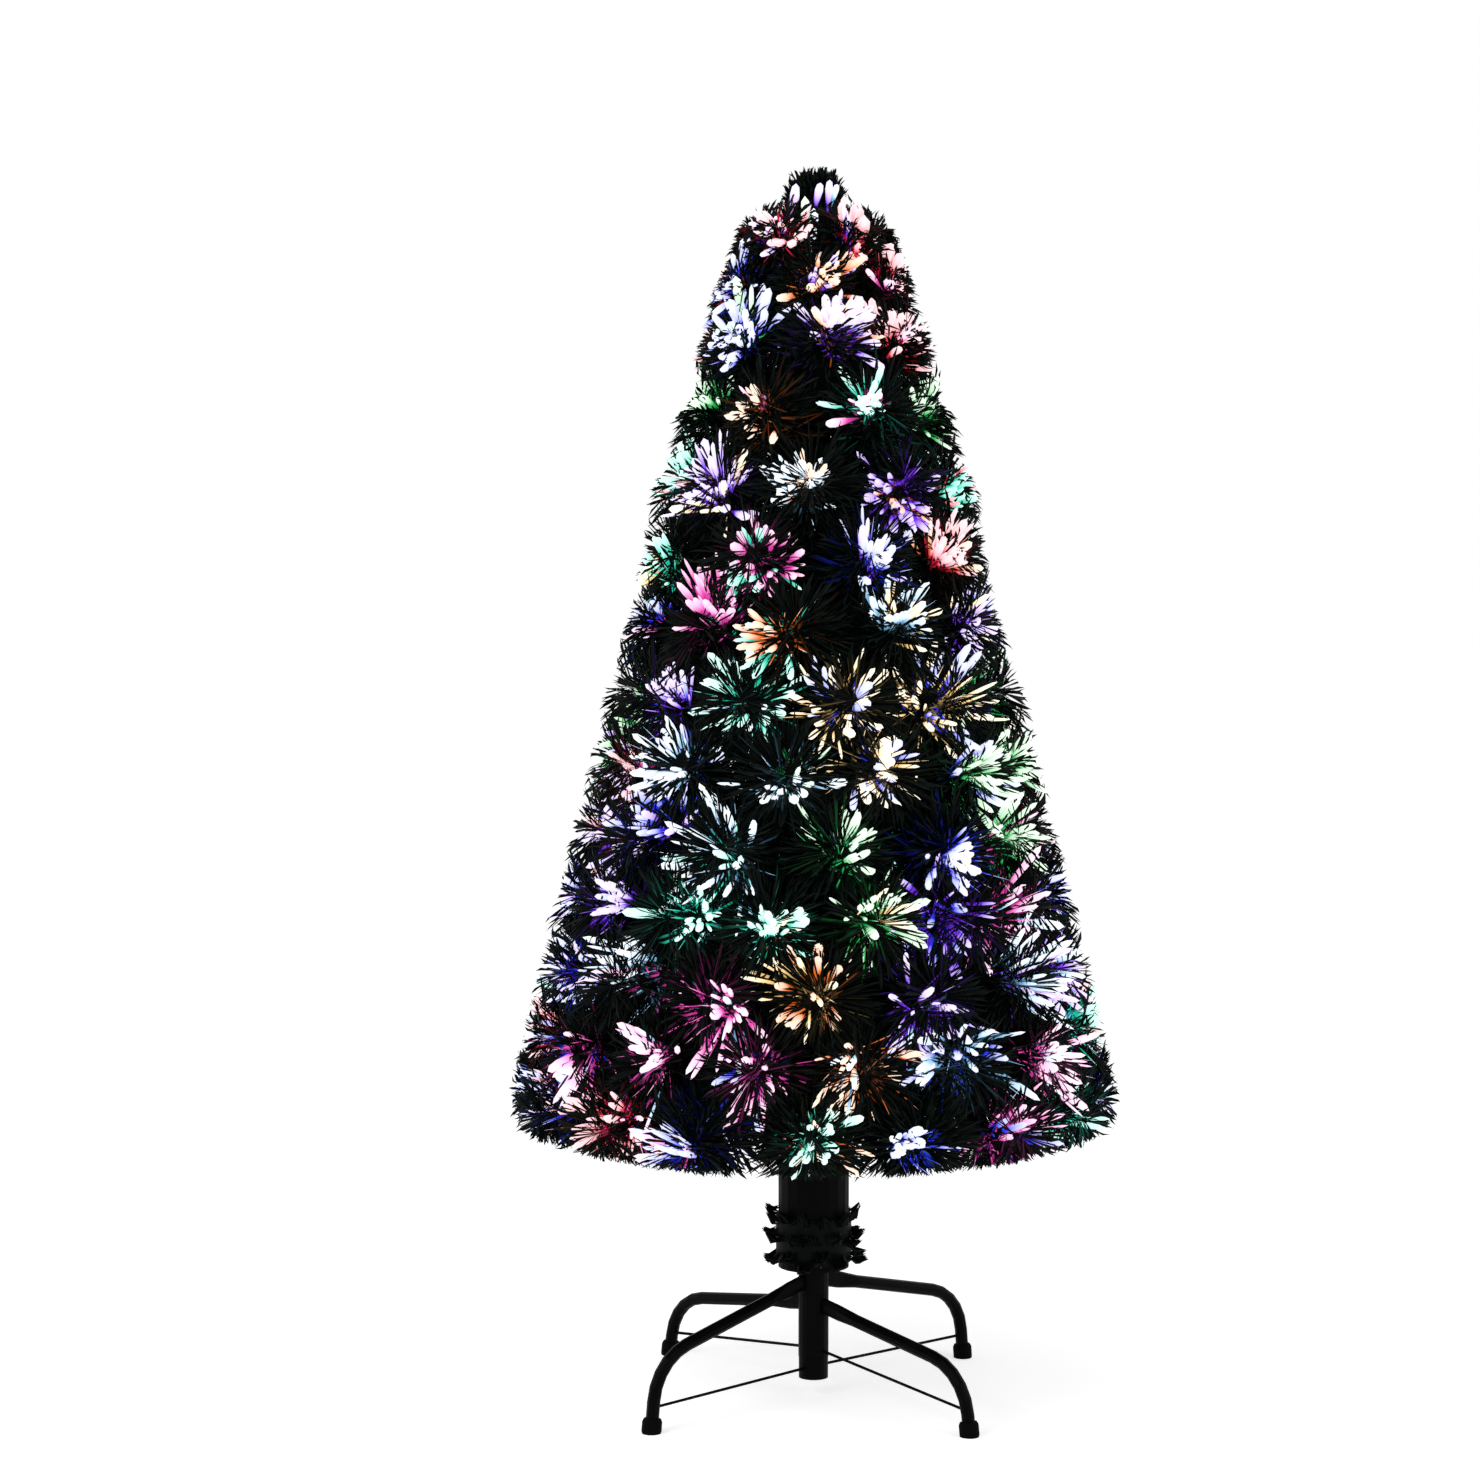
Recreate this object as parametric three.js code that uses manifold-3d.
// Fibre optic christmas tree on a folding four-legged steel stand.
// Millimetres, +Z up, origin on the floor below the trunk, front towards -Y.
// A lamp and a turning colour wheel in the housing light the fibres of every spray.

import * as THREE from 'three';
import { mergeVertices } from 'three/addons/utils/BufferGeometryUtils.js';
import Module from 'manifold-3d';

const wasm = await Module();
wasm.setup();

// General fits
const clearance = 0.3; // gap between pieces that seat on, or turn in, each other
const cutOverrun = 6; // how far a cutting body runs past the faces it cuts
const tubeSides = 20;
const rodSides = 12;

// Stand: post, sleeve and collars, stacked from the floor up
const postBottom = 17;
const postRadius = 13.3;
const postWall = 1.2;
const sleeveWall = 1.4;
const footRingHeight = 21;
const footRingRelief = 0.4; // the foot ring is this much slimmer than the sleeve
const sleeveHeight = 62.7;
const collarHeight = 24.4;

// Stand: legs, feet and braces
const legRadius = 6.35;
const legSides = 10;
const legTabHeight = 16.5; // the inner end is pressed flat and welded on edge
const legTabThickness = 7;
const legTabLength = 20;
const legTabBlend = 24;
const legTabMargin = 2.5;
const legBendRadius = 55;
const legBendSteps = 5;
const footReach = 213;
const upperKneeReach = 206;
const upperKneeHeight = 68.5;
const lowerKneeReach = 205;
const lowerKneeHeight = 61;
const footRadius = 9.8;
const footHeight = 14;
const footFloor = 5;
const footCrown = 1.6; // rounding at the foot's two rims
const braceRadius = 1.5;
const braceSides = 8;
const braceLegHeight = 24;
const braceSleeveRise = 6.7;

// Clamp screw behind the post
const screwRadius = 3;
const screwRise = 8.6; // height of the screw above the collar's lower edge
const screwAzimuth = THREE.MathUtils.degToRad(135);
const nutRadius = 6;
const nutSides = 6;
const nutThickness = 5;
const knobRadius = 9;
const knobThickness = 7;
const knobLobes = 6;
const knobValleyShare = 0.82;
const knobGap = 4; // bare thread between the welded nut and the knob

// Bush and trunk foot
const stubRadius = 9.5;
const stubWall = 1.2;
const stubBottom = 34;
const stubFlangeRadius = 17;
const stubFlangeThickness = 1.2;
const bushDepth = 10;
const bushFlange = 2;
const bushFlangeRadius = 14.6;

// Lamp housing
const housingRadius = 35;
const housingWall = 2;
const housingBaseThickness = 3.4;
const housingHeight = 96;
const lidThickness = 2.8;
const lidSpigot = 6;
const neckHeight = 19;
const neckWall = 3.2;
const ledgeWidth = 1.6;
const chassisThickness = 2;
const motorHeight = 13.5;
const motorRadius = 17;
const wheelAxisReach = 12; // the colour wheel turns on an axis beside the trunk's
const wheelRadius = 20;
const wheelThickness = 1.6;
const wheelHubRadius = 4;
const wheelHubHeight = 5;
const wheelShaftRadius = 1.5;
const shaftHoleMargin = 0.9;
const lampRadius = 9;
const lampBodyHeight = 10;
const lampLensRadius = 6;
const wheelAirGap = 3; // free air on each side of the turning wheel
const inletRadius = 5.6;
const inletLength = 13;
const inletFlangeRadius = 7.8;
const inletFlangeThickness = 1.5;
const inletBore = 3.1;
const inletBoreDepth = 9.5;
const inletPin = 1.05;
const inletDrop = 24; // inlet axis below the top of the housing's wall

// Trunk
const poleRadius = 11;
const poleWall = 1.5;
const poleTopDrop = 110; // the pole ends this far below the top of the foliage's cone
const ferruleRadius = 9.2;
const ferruleWall = 1.3;
const ferruleLap = 14; // ferrule inside the pole
const bundleTopRadius = 3.4;

// Foliage: rows of sprays on a cone
const coneFootHeight = 311;
const coneFootRadius = 303;
const coneTopHeight = 1110;
const coneTopRadius = 88;
const lowestRowHeight = 292;
const highestRowDrop = 59; // the boughs' highest row of tips lies this far below the cone's top
const boughsPerTier = [6, 5, 5, 4, 3, 3];
const rowsPerTier = 2;
const spraysInLowestRow = 16;
const rowLossPerTier = 2;
const tierTurnShare = 0.37; // each tier is turned by this share of its spacing
const lowestPitch = THREE.MathUtils.degToRad(-8);
const highestPitch = THREE.MathUtils.degToRad(50);
const lowestStemRise = THREE.MathUtils.degToRad(24);
const highestStemRise = THREE.MathUtils.degToRad(62);
const sprayRadius = 42;
const lowestSprayLength = 112;
const highestSprayLength = 62;
const sprayLobes = 5;
const sprayWaistShare = 0.42; // place of the waist along a spray
const sprayWaistRadiusShare = 0.56;
const sprayRimShare = 0.84;
const sprayValleyShare = 0.74;
const stemRadius = 3.2; // bare at the pole, then thick with needles as far as the fork
const stemSides = 6;
const stemBareLength = 30;
const needledRadius = 10;
const forkShare = 0.44; // where a stem forks, as a share of its tier's radius

// Leader
const leaderHeight = 91; // the tree's top above the cone's
const leaderRadius = 4;
const leaderPlug = 12;
const leaderRows = 2;
const spraysInLeaderRow = 5;
const leaderRowHeight = 42;
const leaderRowInset = 18; // the upper row's tips stand this much nearer to the trunk
const leaderForkHeight = 34; // the fork's height above the pole
const leaderPitch = THREE.MathUtils.degToRad(54);

// Needle brushes: a skirt round the housing and a tuft on the leader
const skirtFoot = 134;
const skirtHeight = 47;
const skirtBacking = 1.8;
const skirtNeedle = 14;
const skirtRows = 5;
const skirtColumns = 40;
const tuftHeight = 74;
const tuftBacking = 1.6;
const tuftNeedle = 26;
const tuftRows = 9;
const tuftColumns = 14;
const skirtFootLift = THREE.MathUtils.degToRad(-12);
const skirtTopLift = THREE.MathUtils.degToRad(45);
const tuftFootLift = THREE.MathUtils.degToRad(20);
const tuftTopLift = THREE.MathUtils.degToRad(66);

// Finishes
const finish = (color, roughness, metalness) =>
  new THREE.MeshStandardMaterial({ color, roughness, metalness });
const blackSteel = finish(0x17181a, 0.45, 0.5);
const blackRubber = finish(0x101010, 0.85, 0);
const blackPlastic = finish(0x141517, 0.55, 0);
const brightSteel = finish(0xb9bcc0, 0.35, 1);
const needleGreen = finish(0x0e2a19, 0.7, 0);
const lampWhite = finish(0xf4f1e8, 0.3, 0);
const wheelColour = finish(0x7a5cc8, 0.25, 0);
const aluminium = finish(0xa7abb0, 0.4, 1);
const clearFibre = finish(0xdfe8ee, 0.2, 0);

// Points and vectors

const v2 = (x, y) => new THREE.Vector2(x, y);
const v3 = (x, y, z) => new THREE.Vector3(x, y, z);
const upward = v3(0, 0, 1);
const mix = THREE.MathUtils.lerp;

const polar = (radius, angle, z) => v3(radius * Math.cos(angle), radius * Math.sin(angle), z);

const outward = (angle, pitch) => polar(Math.cos(pitch), angle, Math.sin(pitch));

// Corner angles of a ring with a number of sides.
function turns(sides, offsetShare = 0) {
  return Array.from({ length: sides }, (_, i) => ((i + offsetShare) / sides) * Math.PI * 2);
}

// Solids

function solidOf(geometry) {
  const bare = geometry.clone();
  bare.deleteAttribute('normal');
  bare.deleteAttribute('uv');
  const merged = mergeVertices(bare);
  const vertProperties = new Float32Array(merged.attributes.position.array);
  const triVerts = new Uint32Array(merged.index.array);
  return new wasm.Manifold(new wasm.Mesh({ numProp: 3, vertProperties, triVerts }));
}

function geometryOf(solid) {
  const mesh = solid.getMesh();
  const geometry = new THREE.BufferGeometry();
  geometry.setAttribute('position', new THREE.BufferAttribute(mesh.vertProperties, 3));
  geometry.setIndex(new THREE.BufferAttribute(mesh.triVerts, 1));
  geometry.computeVertexNormals();
  return geometry;
}

function join(...geometries) {
  return geometryOf(geometries.map(solidOf).reduce((whole, next) => whole.add(next)));
}

function cut(geometry, ...tools) {
  return geometryOf(tools.map(solidOf).reduce((rest, tool) => rest.subtract(tool), solidOf(geometry)));
}

// A profile of [radius, height] pairs turned about Z. It runs anticlockwise with Z up, and
// starts and ends on the axis or closes on itself.
function turned(profile, sides = tubeSides) {
  const points = profile.map(([radius, z]) => v2(radius, z));
  return new THREE.LatheGeometry(points, sides).rotateX(Math.PI / 2);
}

function disc(radius, low, high, sides = tubeSides) {
  return turned([[0, low], [radius, low], [radius, high], [0, high]], sides);
}

function tube(inner, outer, low, high, sides = tubeSides) {
  const profile = [[inner, low], [outer, low], [outer, high], [inner, high], [inner, low]];
  return turned(profile, sides);
}

// The skin between two rings. Each ring turns anticlockwise seen from the second, and one may
// have more corners than the other, or shrink to a point.
function zip(first, second, faces) {
  const stepsA = first.length === 1 ? 0 : first.length;
  const stepsB = second.length === 1 ? 0 : second.length;
  let a = 0;
  let b = 0;
  while (a < stepsA || b < stepsB) {
    const cornerA = first[a % first.length];
    const cornerB = second[b % second.length];
    const takeA = b >= stepsB || (a < stepsA && (a + 1) / stepsA <= (b + 1) / stepsB);
    if (takeA) {
      a += 1;
      faces.push(cornerA, first[a % first.length], cornerB);
    } else {
      b += 1;
      faces.push(cornerA, second[b % second.length], cornerB);
    }
  }
}

function skinned(faces) {
  const positions = new Float32Array(faces.flatMap((corner) => corner.toArray()));
  const geometry = new THREE.BufferGeometry();
  geometry.setAttribute('position', new THREE.BufferAttribute(positions, 3));
  return mergeVertices(geometry);
}

// A closed body through a row of rings, with flat ends.
function loft(rings) {
  const faces = [];
  const start = rings[0];
  const end = rings[rings.length - 1];
  for (let i = 1; i + 1 < start.length; i += 1) faces.push(start[0], start[i + 1], start[i]);
  for (let i = 1; i < rings.length; i += 1) zip(rings[i - 1], rings[i], faces);
  for (let i = 1; i + 1 < end.length; i += 1) faces.push(end[0], end[i], end[i + 1]);
  return skinned(faces);
}

// A ring square to a direction, with its first corner on the side the radii function says.
function ringAt(centre, direction, radii) {
  const side = v3(0, 0, 0).crossVectors(upward, direction).normalize();
  const rise = v3(0, 0, 0).crossVectors(direction, side);
  return radii.map((radius, i) => {
    const angle = (i / radii.length) * Math.PI * 2;
    const across = side.clone().multiplyScalar(radius * Math.cos(angle));
    return centre.clone().add(across).addScaledVector(rise, radius * Math.sin(angle));
  });
}

const evenRadii = (radius, sides) => Array(sides).fill(radius);

// A straight rod between two points.
function rod(from, to, radius, sides) {
  const direction = to.clone().sub(from).normalize();
  const radii = evenRadii(radius, sides);
  return loft([ringAt(from, direction, radii), ringAt(to, direction, radii)]);
}

// Heights of the stand's stack

const footRingTop = postBottom + footRingHeight;
const sleeveFoot = footRingTop + clearance;
const sleeveTop = sleeveFoot + sleeveHeight;
const collarFoot = sleeveTop + clearance;
const postTop = collarFoot + collarHeight;
const sleeveBore = postRadius + clearance;
const sleeveRadius = sleeveBore + sleeveWall;
const postBore = postRadius - postWall;
const screwHeight = collarFoot + screwRise;

// Stand

// A cutting rod along the clamp screw, from the trunk's axis out.
function screwHole() {
  const reach = sleeveRadius + nutThickness + cutOverrun;
  const end = polar(reach, screwAzimuth, screwHeight);
  return rod(polar(0, 0, screwHeight), end, screwRadius + clearance, rodSides);
}

function postTube() {
  return cut(tube(postBore, postRadius, postBottom, postTop), screwHole());
}

function footRing() {
  return tube(sleeveBore, sleeveRadius - footRingRelief, postBottom, footRingTop);
}

// The collar carries the upper legs and a nut welded over the screw's hole.
function postCollar() {
  const ring = tube(sleeveBore, sleeveRadius, collarFoot, postTop);
  const inner = sleeveBore + sleeveWall / 2;
  const from = polar(inner, screwAzimuth, screwHeight);
  const to = polar(sleeveRadius + nutThickness, screwAzimuth, screwHeight);
  const nut = rod(from, to, nutRadius, nutSides);
  const bore = tube(0, sleeveBore, collarFoot - cutOverrun, postTop + cutOverrun);
  return cut(join(ring, nut), bore, screwHole());
}

function swivelSleeve() {
  return tube(sleeveBore, sleeveRadius, sleeveFoot, sleeveTop);
}

// The centre line of a leg in the plane of X and Z: out from the post, round the knee, down.
function legLine(rootHeight, kneeReach, kneeHeight) {
  const root = v2(sleeveRadius + clearance, rootHeight);
  const knee = v2(kneeReach, kneeHeight);
  const end = v2(footReach, 0);
  const out = knee.clone().sub(root).normalize();
  const down = end.clone().sub(knee).normalize();
  const turn = out.angleTo(down);
  const setback = legBendRadius * Math.tan(turn / 2);
  const bendStart = knee.clone().addScaledVector(out, -setback);
  const centre = bendStart.clone().add(v2(out.y, -out.x).multiplyScalar(legBendRadius));
  const tipShare = (footFloor + clearance) / kneeHeight;
  return { root, out, down, turn, bendStart, centre, tip: end.clone().lerp(knee, tipShare) };
}

// A leg's section: an oval ring in the plane square to its line.
function legRing(point, direction, halfHeight, halfThickness) {
  const normal = v2(-direction.y, direction.x);
  return turns(legSides, 1 / 2).map((angle) => {
    const rise = halfHeight * Math.sin(angle);
    const across = halfThickness * Math.cos(angle);
    return v3(point.x + normal.x * rise, across, point.y + normal.y * rise);
  });
}

function leg(line, growth = 0) {
  const { root, out, down, turn, bendStart, centre, tip } = line;
  const tabHalf = legTabHeight / 2 + growth;
  const tabThin = legTabThickness / 2 + growth;
  const round = legRadius + growth;
  const tabEnd = root.clone().addScaledVector(out, legTabLength);
  const blendEnd = tabEnd.clone().addScaledVector(out, legTabBlend);
  const rings = [
    legRing(root, v2(1, 0), tabHalf, tabThin),
    legRing(tabEnd, out, tabHalf, tabThin),
    legRing(blendEnd, out, round, round),
  ];
  for (let step = 0; step <= legBendSteps; step += 1) {
    const angle = -(turn * step) / legBendSteps;
    const spoke = bendStart.clone().sub(centre).rotateAround(v2(0, 0), angle);
    const along = out.clone().rotateAround(v2(0, 0), angle);
    rings.push(legRing(centre.clone().add(spoke), along, round, round));
  }
  rings.push(legRing(tip.clone().addScaledVector(down, growth), down, round, round));
  return loft(rings);
}

// A moulded rubber cap on the leg's end, cut flat where it stands.
function foot(line) {
  const rim = footRadius - footCrown;
  const cap = turned([
    [0, -footCrown * 2], [rim, -footCrown * 2], [footRadius, footCrown],
    [footRadius, footHeight - footCrown * 2], [rim, footHeight], [0, footHeight],
  ], rodSides);
  const tilt = Math.atan2(line.down.x, -line.down.y);
  cap.rotateY(-tilt).translate(footReach, 0, 0);
  const floor = new THREE.BoxGeometry(footRadius * 4, footRadius * 4, footHeight);
  floor.translate(footReach, 0, -footHeight / 2);
  return cut(cap, floor, leg(line, clearance));
}

// A wire brace from the post to the inner side of a leg.
function brace(line, postReach, postHeight) {
  const from = v3(postReach + clearance, 0, postHeight);
  const to = v3(footReach - legRadius, 0, braceLegHeight);
  return cut(rod(from, to, braceRadius, braceSides), leg(line, clearance));
}

const upperLeg = legLine((collarFoot + postTop) / 2, upperKneeReach, upperKneeHeight);
const lowerLeg = legLine(sleeveTop - legTabMargin - legTabHeight / 2, lowerKneeReach, lowerKneeHeight);
const upperBraceHeight = (postBottom + footRingTop) / 2;
const lowerBraceHeight = sleeveFoot + braceSleeveRise;

// Clamp screw, built along +X from the trunk's axis

const screwTip = stubRadius + clearance;
const knobInner = sleeveRadius + nutThickness + knobGap;
const knobOuter = knobInner + knobThickness;

function clampScrew() {
  return rod(v3(screwTip, 0, 0), v3(knobOuter - knobThickness / 3, 0, 0), screwRadius, rodSides);
}

function clampKnob() {
  const outline = new THREE.Shape(turns(knobLobes * 2).map((angle, i) => {
    const radius = i % 2 === 0 ? knobRadius : knobRadius * knobValleyShare;
    return v2(radius * Math.cos(angle), radius * Math.sin(angle));
  }));
  const chamfer = knobThickness / 6;
  const settings = { depth: knobThickness - chamfer * 2, bevelThickness: chamfer, bevelSize: chamfer };
  const body = new THREE.ExtrudeGeometry(outline, { ...settings, bevelOffset: -chamfer, bevelSegments: 1 });
  body.translate(0, 0, chamfer).rotateY(Math.PI / 2).translate(knobInner, 0, 0);
  const socketEnd = knobOuter - knobThickness / 3 + clearance;
  return cut(body, rod(v3(0, 0, 0), v3(socketEnd, 0, 0), screwRadius + clearance, rodSides));
}

// Bush and lamp housing

const bushTop = postTop + clearance + bushFlange;
const stubBore = stubRadius + clearance;
const housingFoot = bushTop + clearance;
const baseTop = housingFoot + housingBaseThickness;
const shellFoot = baseTop + clearance;
const shellTop = housingFoot + housingHeight;
const shellBore = housingRadius - housingWall;
const flangeTop = baseTop + clearance + stubFlangeThickness;
const motorFoot = flangeTop + clearance;
const motorTop = motorFoot + motorHeight;
const chassisFoot = motorTop + clearance;
const chassisTop = chassisFoot + chassisThickness;
const lampFoot = chassisTop + clearance;
const lampTop = lampFoot + lampBodyHeight + lampLensRadius;
const wheelFoot = lampTop + wheelAirGap;
const wheelTop = wheelFoot + wheelThickness;
const ferruleFoot = wheelTop + wheelAirGap;
const lidFoot = shellTop + clearance;
const lidTop = lidFoot + lidThickness;
const poleFoot = lidTop + clearance;
const poleBore = poleRadius - poleWall;
const poleTop = coneTopHeight - poleTopDrop;
const ferruleTop = poleFoot + ferruleLap;

function trunkBush() {
  const outer = postBore - clearance;
  const flangeFoot = postTop + clearance;
  return turned([
    [stubBore, flangeFoot - bushDepth], [outer, flangeFoot - bushDepth], [outer, flangeFoot],
    [bushFlangeRadius, flangeFoot], [bushFlangeRadius, bushTop], [stubBore, bushTop],
    [stubBore, flangeFoot - bushDepth],
  ]);
}

function trunkStub() {
  const flangeFoot = baseTop + clearance;
  const inner = stubRadius - stubWall;
  return turned([
    [inner, stubBottom], [stubRadius, stubBottom], [stubRadius, flangeFoot],
    [stubFlangeRadius, flangeFoot], [stubFlangeRadius, flangeTop], [inner, flangeTop],
    [inner, stubBottom],
  ]);
}

function housingBase() {
  const spigot = shellBore - clearance;
  return turned([
    [stubBore, housingFoot], [housingRadius, housingFoot], [housingRadius, baseTop],
    [spigot, baseTop], [spigot, flangeTop], [spigot - housingWall, flangeTop],
    [spigot - housingWall, baseTop], [stubBore, baseTop], [stubBore, housingFoot],
  ]);
}

const inletHeight = shellTop - inletDrop;

// The wall, with an inner ledge that carries the lamp's plate and a hole for the inlet.
function housingShell() {
  const ledge = shellBore - ledgeWidth;
  const ledgeTop = chassisFoot - clearance;
  const ledgeFoot = ledgeTop - housingWall;
  const wall = turned([
    [shellBore, shellFoot], [housingRadius, shellFoot], [housingRadius, shellTop],
    [shellBore, shellTop], [shellBore, ledgeTop], [ledge, ledgeTop], [ledge, ledgeFoot],
    [shellBore, ledgeFoot], [shellBore, shellFoot],
  ]);
  const from = polar(shellBore - cutOverrun, screwAzimuth, inletHeight);
  const to = polar(housingRadius + cutOverrun, screwAzimuth, inletHeight);
  return cut(wall, rod(from, to, inletRadius + clearance, rodSides));
}

// The lid, with a neck that holds the pole and a hole for the fibres' ferrule.
function housingLid() {
  const spigot = shellBore - clearance;
  const spigotFoot = lidFoot - lidSpigot;
  const ferruleHole = ferruleRadius + clearance;
  const neckBore = poleRadius + clearance;
  const neckTop = lidTop + neckHeight;
  return turned([
    [ferruleHole, lidFoot], [spigot - housingWall, lidFoot], [spigot - housingWall, spigotFoot],
    [spigot, spigotFoot], [spigot, lidFoot], [housingRadius, lidFoot], [housingRadius, lidTop],
    [neckBore + neckWall * 2, lidTop], [neckBore + neckWall, neckTop], [neckBore, neckTop],
    [neckBore, lidTop], [ferruleHole, lidTop], [ferruleHole, lidFoot],
  ]);
}

function chassisPlate() {
  const plate = disc(shellBore - clearance, chassisFoot, chassisTop);
  const hole = wheelShaftRadius + shaftHoleMargin;
  const drill = disc(hole, chassisFoot - cutOverrun, chassisTop + cutOverrun, rodSides);
  return cut(plate, drill.translate(wheelAxisReach, 0, 0));
}

// A geared motor can with a raised bearing, which the wheel's shaft stands on.
function wheelMotor() {
  const shoulder = motorTop - chassisThickness;
  return turned([
    [0, motorFoot], [motorRadius, motorFoot], [motorRadius, shoulder],
    [motorRadius - chassisThickness, motorTop], [0, motorTop],
  ]).translate(wheelAxisReach, 0, 0);
}

// Lamp: a finned body with a domed lens under the fibres.
function ledLamp() {
  const bodyTop = lampFoot + lampBodyHeight;
  const fin = lampBodyHeight / 5;
  const finRoot = lampRadius - fin;
  const dome = turns(12).slice(0, 4).reverse().map((angle) => [
    lampLensRadius * Math.sin(angle), bodyTop + lampLensRadius * Math.cos(angle),
  ]);
  return turned([
    [0, lampFoot], [lampRadius, lampFoot], [lampRadius, lampFoot + fin], [finRoot, lampFoot + fin],
    [finRoot, lampFoot + fin * 2], [lampRadius, lampFoot + fin * 2],
    [lampRadius, lampFoot + fin * 3], [finRoot, lampFoot + fin * 3], [finRoot, bodyTop - fin],
    [lampRadius, bodyTop - fin], [lampRadius, bodyTop], ...dome,
  ], rodSides);
}

// The colour wheel with its hub and shaft, about its own axis.
function colourWheel() {
  const shaftFoot = motorTop + clearance;
  return turned([
    [0, shaftFoot], [wheelShaftRadius, shaftFoot], [wheelShaftRadius, wheelFoot - wheelHubHeight],
    [wheelHubRadius, wheelFoot - wheelHubHeight], [wheelHubRadius, wheelFoot], [wheelRadius, wheelFoot],
    [wheelRadius, wheelTop], [0, wheelTop],
  ]).translate(wheelAxisReach, 0, 0);
}

// A low-voltage socket, built along +X from the trunk's axis.
function powerInlet() {
  const face = housingRadius + clearance + inletFlangeThickness;
  const inside = housingRadius - inletLength;
  const floor = face - inletBoreDepth;
  const pinTip = face - inletPin;
  return turned([
    [0, inside], [inletRadius, inside], [inletRadius, housingRadius + clearance],
    [inletFlangeRadius, housingRadius + clearance], [inletFlangeRadius, face], [inletBore, face],
    [inletBore, floor], [inletPin, floor], [inletPin, pinTip], [0, pinTip],
  ], rodSides).rotateY(Math.PI / 2);
}

function bundleFerrule() {
  return tube(ferruleRadius - ferruleWall, ferruleRadius, ferruleFoot, ferruleTop, rodSides);
}

const leaderPlugFoot = poleTop - leaderPlug;

// All fibres run up the pole together and thin out as the boughs take theirs.
function fibreBundle() {
  const radius = ferruleRadius - ferruleWall - clearance;
  const top = leaderPlugFoot - clearance;
  const foot = ferruleFoot + ferruleWall;
  const profile = [[0, foot], [radius, foot], [radius, ferruleTop], [bundleTopRadius, top], [0, top]];
  return turned(profile, rodSides);
}

// Foliage

const tierCount = boughsPerTier.length;
const rowCount = tierCount * rowsPerTier;
const rowPitch = (coneTopHeight - highestRowDrop - lowestRowHeight) / (rowCount - 1);

function coneRadius(height) {
  const share = (height - coneFootHeight) / (coneTopHeight - coneFootHeight);
  return mix(coneFootRadius, coneTopRadius, Math.max(share, 0));
}

// A spray's place: where its tip is, which way it points and how long it is.
function sprayAt(angle, height, reach, pitch, length) {
  const direction = outward(angle, pitch);
  const tip = polar(reach, angle, height);
  const root = tip.clone().addScaledVector(direction, -length);
  const rim = root.clone().lerp(tip, sprayRimShare);
  return { angle, height, reach, direction, length, tip, root, rim };
}

function tierSprays(tier) {
  const count = spraysInLowestRow - rowLossPerTier * tier;
  const sprays = [];
  for (let row = 0; row < rowsPerTier; row += 1) {
    const level = tier * rowsPerTier + row;
    const share = level / (rowCount - 1);
    const height = lowestRowHeight + level * rowPitch;
    const pitch = mix(lowestPitch, highestPitch, share);
    const length = mix(lowestSprayLength, highestSprayLength, share);
    for (const angle of turns(count, row / rowsPerTier + tier * tierTurnShare)) {
      sprays.push(sprayAt(angle, height, coneRadius(height), pitch, length));
    }
  }
  return sprays.sort((a, b) => a.angle - b.angle);
}

// The leader's sprays close the cone's top.
function leaderSprayRow(row) {
  const height = coneTopHeight + row * leaderRowHeight;
  const reach = coneTopRadius - row * leaderRowInset;
  return turns(spraysInLeaderRow, row / leaderRows + tierTurnShare).map((angle) => (
    sprayAt(angle, height, reach, leaderPitch, highestSprayLength)
  ));
}

// Each tier's sprays are shared out to its boughs in order round the trunk.
const tiers = boughsPerTier.map((boughs, tier) => {
  const sprays = tierSprays(tier);
  const share = sprays.length / boughs;
  const groups = Array.from({ length: boughs }, (_, i) => (
    sprays.slice(Math.round(i * share), Math.round((i + 1) * share))
  ));
  return { tier, groups };
});
const leaderSprays = Array.from({ length: leaderRows }, (_, row) => leaderSprayRow(row)).flat();
const allSprays = [...tiers.flatMap(({ groups }) => groups.flat()), ...leaderSprays];

// A spray spreads until it nearly meets the nearest other one.
for (const spray of allSprays) {
  const others = allSprays.filter((other) => other !== spray);
  const nearest = Math.min(...others.map((other) => other.rim.distanceTo(spray.rim)));
  spray.radius = Math.min(sprayRadius, (nearest - clearance) / 2);
}

// A twig thick with needles that opens into a lobed spray of needles and fibres.
function sprayBody(fork, spray) {
  const { root, direction, length, tip, rim, radius } = spray;
  const waist = root.clone().addScaledVector(direction, length * sprayWaistShare);
  const toWaist = waist.clone().sub(fork).normalize();
  const rimRadii = Array.from({ length: sprayLobes * 2 }, (_, i) => (
    i % 2 === 0 ? radius : radius * sprayValleyShare
  ));
  return loft([
    ringAt(fork, toWaist, evenRadii(needledRadius, sprayLobes)),
    ringAt(waist, direction, evenRadii(radius * sprayWaistRadiusShare, sprayLobes)),
    ringAt(rim, direction, rimRadii),
    [tip],
  ]);
}

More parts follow.
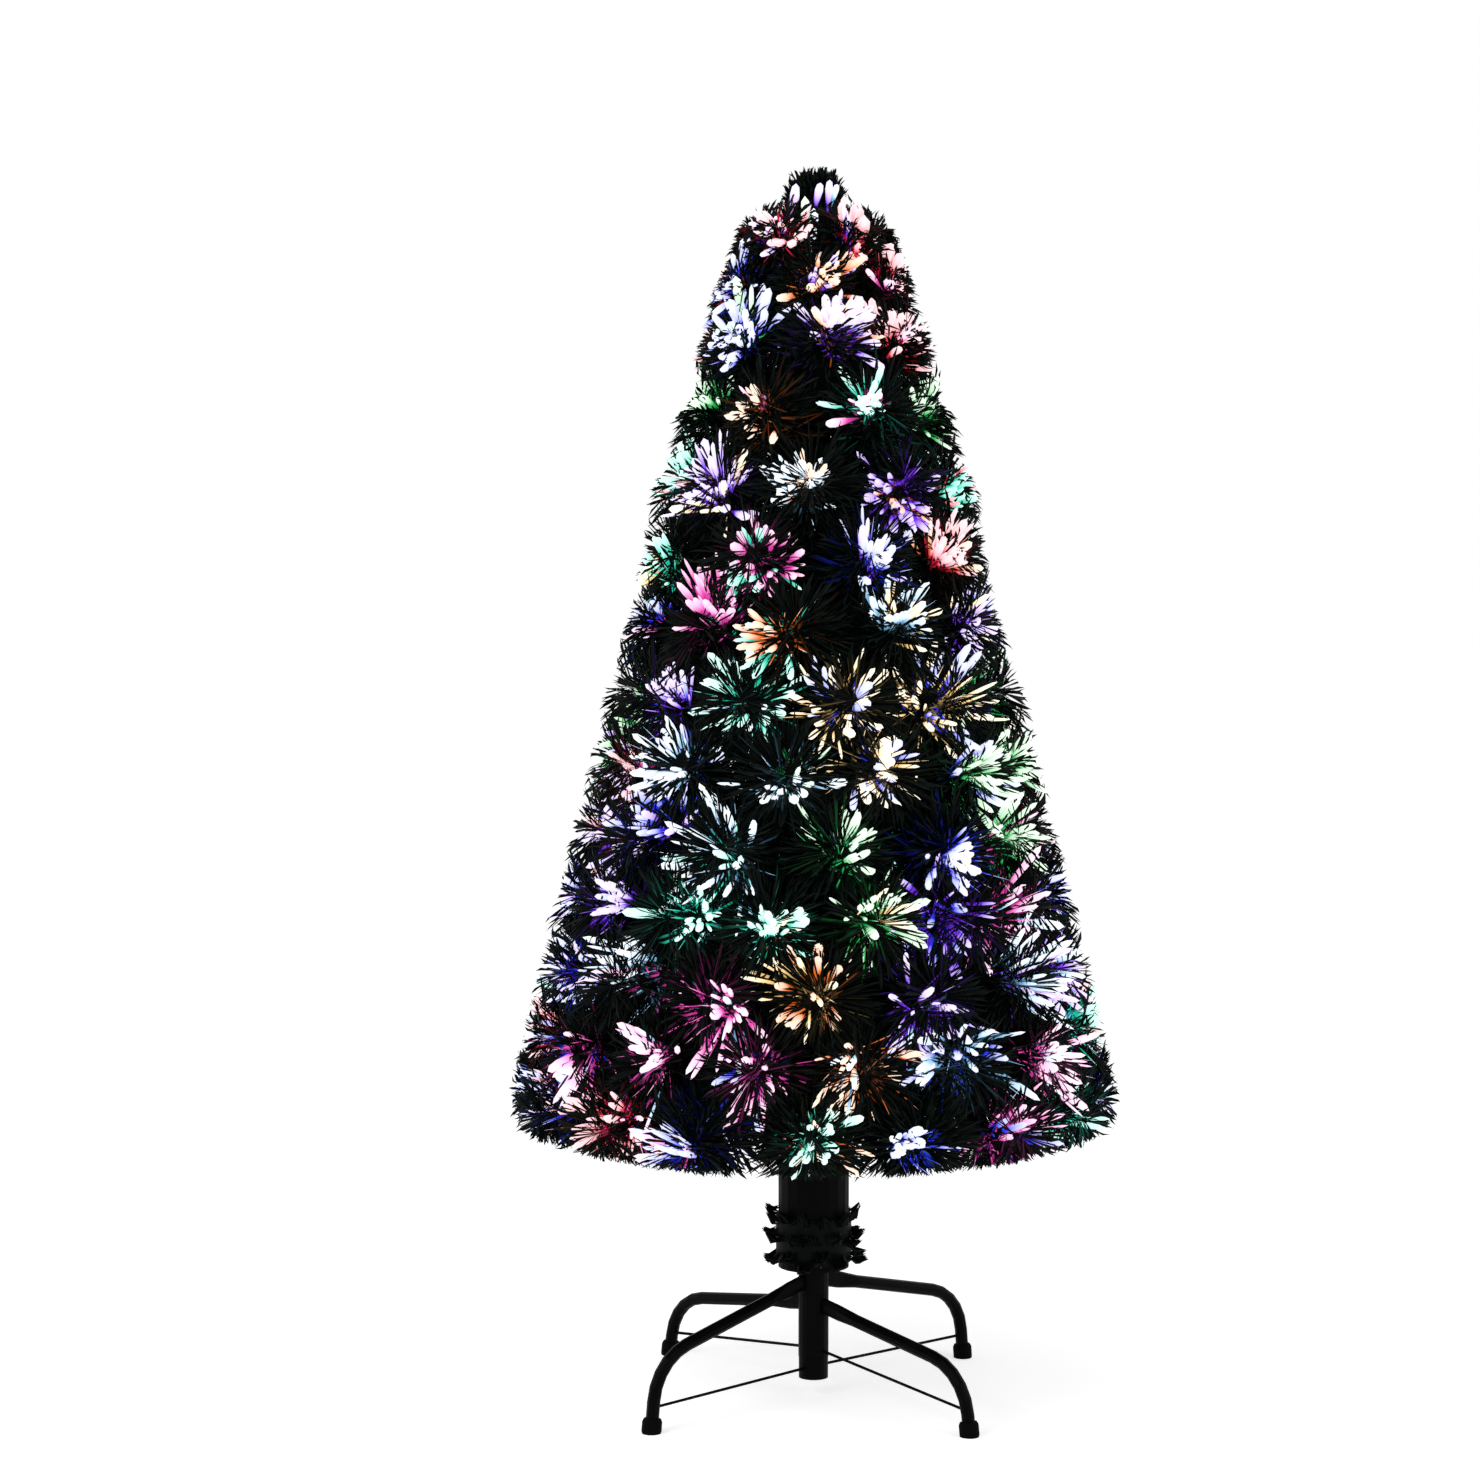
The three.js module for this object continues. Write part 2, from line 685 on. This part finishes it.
// Where a bough leaves the pole, the way it rises and where it forks.
function boughLine(tier, sprays) {
  const share = tier / (tierCount - 1);
  const rise = mix(lowestStemRise, highestStemRise, share);
  const pitch = mix(lowestPitch, highestPitch, share);
  const mean = (pick) => sprays.reduce((sum, spray) => sum + pick(spray), 0) / sprays.length;
  const angle = mean((spray) => spray.angle);
  const reach = mean((spray) => spray.reach);
  const forkReach = reach * forkShare;
  const forkHeight = mean((spray) => spray.height) - (reach - forkReach) * Math.tan(pitch);
  const rootReach = poleRadius - poleWall / 2;
  const rootHeight = forkHeight - (forkReach - rootReach) * Math.tan(rise);
  const root = polar(rootReach, angle, rootHeight);
  return { angle, rise, root, fork: polar(forkReach, angle, forkHeight) };
}

function bough(line, sprays) {
  const { root, fork, angle, rise } = line;
  const along = outward(angle, rise);
  const bareEnd = root.clone().addScaledVector(along, stemBareLength);
  const stemEnd = fork.clone().addScaledVector(along, needledRadius / 2);
  const stem = loft([
    ringAt(root, along, evenRadii(stemRadius, stemSides)),
    ringAt(bareEnd, along, evenRadii(stemRadius, stemSides)),
    ringAt(fork, along, evenRadii(needledRadius, stemSides)),
    ringAt(stemEnd, along, evenRadii(needledRadius / 2, stemSides)),
  ]);
  return join(stem, ...sprays.map((spray) => sprayBody(fork, spray)));
}

const boughs = tiers.flatMap(({ tier, groups }) => groups.map((sprays, i) => {
  const line = boughLine(tier, sprays);
  return { name: `bough_${tier + 1}_${i + 1}`, line, geometry: bough(line, sprays) };
}));

// The pole, drilled along every bough's root.
function trunkPole() {
  const pole = tube(poleBore, poleRadius, poleFoot, poleTop, rodSides);
  const drills = boughs.map(({ line }) => {
    const direction = outward(line.angle, line.rise);
    const from = line.root.clone().addScaledVector(direction, -poleWall * 2);
    const to = line.root.clone().addScaledVector(direction, poleRadius * 2);
    return rod(from, to, stemRadius + clearance, stemSides);
  });
  return cut(pole, ...drills);
}

// Leader: a plug in the pole's top, a stem through the tuft, and rings of sprays.
const leaderFork = v3(0, 0, poleTop + leaderForkHeight);
const leaderTop = coneTopHeight + leaderHeight;
const tuftTop = leaderTop - tuftNeedle * Math.sin(tuftTopLift) + tuftHeight / (2 * tuftRows);
const tuftFoot = tuftTop - tuftHeight;

function leader() {
  const plug = poleBore - clearance;
  const collarTop = poleTop + clearance + poleWall;
  const stem = turned([
    [0, leaderPlugFoot], [plug, leaderPlugFoot], [plug, poleTop + clearance],
    [poleRadius, poleTop + clearance], [poleRadius, collarTop], [leaderRadius, collarTop + leaderRadius],
    [leaderRadius, tuftTop], [0, tuftTop],
  ], rodSides);
  return join(stem, ...leaderSprays.map((spray) => sprayBody(leaderFork, spray)));
}

// A brush of pointed needles on a thin sleeve: every cell of the sleeve's outer face rises
// into one four-sided needle. Needles of a row lean the same way, so that none cross.
function brush({ bore, backing, low, high, rows, columns, needle, lifts }) {
  const level = (row) => mix(low, high, row / rows);
  const ring = (radius, z) => turns(columns).map((angle) => polar(radius, angle, z));
  const faces = [];
  for (let row = 0; row < rows; row += 1) {
    const lean = row % 2 === 0 ? 1 / 4 : 3 / 4;
    const lower = ring(bore + backing, level(row));
    const upper = ring(bore + backing, level(row + 1));
    const pitch = mix(lifts[0], lifts[1], row / (rows - 1));
    const reach = bore + backing + needle * Math.cos(pitch);
    const tipHeight = level(row + 1 / 2) + needle * Math.sin(pitch);
    const tips = turns(columns, lean).map((angle) => polar(reach, angle, tipHeight));
    for (let i = 0; i < columns; i += 1) {
      const next = (i + 1) % columns;
      const cell = [lower[i], lower[next], upper[next], upper[i]];
      cell.forEach((corner, k) => faces.push(corner, cell[(k + 1) % cell.length], tips[i]));
    }
  }
  zip(ring(bore, low).reverse(), ring(bore, high).reverse(), faces);
  zip(ring(bore, low), ring(bore + backing, low), faces);
  zip(ring(bore + backing, high), ring(bore, high), faces);
  return skinned(faces);
}

function needleSkirt() {
  return brush({
    bore: housingRadius + clearance,
    backing: skirtBacking,
    low: skirtFoot,
    high: skirtFoot + skirtHeight,
    rows: skirtRows,
    columns: skirtColumns,
    needle: skirtNeedle,
    lifts: [skirtFootLift, skirtTopLift],
  });
}

function topTuft() {
  return brush({
    bore: leaderRadius + clearance,
    backing: tuftBacking,
    low: tuftFoot,
    high: tuftTop,
    rows: tuftRows,
    columns: tuftColumns,
    needle: tuftNeedle,
    lifts: [tuftFootLift, tuftTopLift],
  });
}

// Assembly

function place(group, name, geometry, material) {
  const mesh = new THREE.Mesh(geometry, material);
  mesh.name = name;
  group.add(mesh);
  return mesh;
}

const tree = new THREE.Group();
const stand = new THREE.Group();
const lamp = new THREE.Group();
const foliage = new THREE.Group();
tree.add(stand, lamp, foliage);

place(stand, 'post_tube', postTube(), blackSteel);
place(stand, 'post_foot_ring', footRing(), blackSteel);
place(stand, 'post_collar', postCollar(), blackSteel);
place(stand, 'swivel_sleeve', swivelSleeve(), blackSteel);

// The upper legs stand front and rear, the lower ones left and right.
const upperPair = { line: upperLeg, reach: sleeveRadius - footRingRelief, height: upperBraceHeight };
const lowerPair = { line: lowerLeg, reach: sleeveRadius, height: lowerBraceHeight };
const legPlaces = [
  { side: 'right', pair: lowerPair },
  { side: 'rear', pair: upperPair },
  { side: 'left', pair: lowerPair },
  { side: 'front', pair: upperPair },
];
for (const [i, { side, pair }] of legPlaces.entries()) {
  const { line, reach, height } = pair;
  const quarter = new THREE.Group();
  quarter.rotation.z = turns(legPlaces.length)[i];
  stand.add(quarter);
  place(quarter, `leg_${side}`, leg(line), blackSteel);
  place(quarter, `foot_${side}`, foot(line), blackRubber);
  place(quarter, `brace_${side}`, brace(line, reach, height), blackSteel);
}

const clamp = new THREE.Group();
clamp.position.z = screwHeight;
clamp.rotation.z = screwAzimuth;
stand.add(clamp);
place(clamp, 'clamp_screw', clampScrew(), brightSteel);
place(clamp, 'clamp_knob', clampKnob(), blackPlastic);
place(stand, 'trunk_bush', trunkBush(), blackPlastic);

place(lamp, 'trunk_stub', trunkStub(), blackSteel);
place(lamp, 'housing_base', housingBase(), blackPlastic);
place(lamp, 'housing_shell', housingShell(), blackPlastic);
place(lamp, 'housing_lid', housingLid(), blackPlastic);
place(lamp, 'chassis_plate', chassisPlate(), brightSteel);
place(lamp, 'wheel_motor', wheelMotor(), brightSteel);
place(lamp, 'led_lamp', ledLamp(), lampWhite);
place(lamp, 'colour_wheel', colourWheel(), wheelColour);
place(lamp, 'bundle_ferrule', bundleFerrule(), aluminium);
const inlet = place(lamp, 'power_inlet', powerInlet(), blackPlastic);
inlet.rotation.z = screwAzimuth;
inlet.position.z = inletHeight;

place(foliage, 'trunk_pole', trunkPole(), blackSteel);
place(foliage, 'fibre_bundle', fibreBundle(), clearFibre);
place(foliage, 'needle_skirt', needleSkirt(), needleGreen);
for (const { name, geometry } of boughs) place(foliage, name, geometry, needleGreen);
place(foliage, 'leader', leader(), needleGreen);
place(foliage, 'top_tuft', topTuft(), needleGreen);

export default tree;
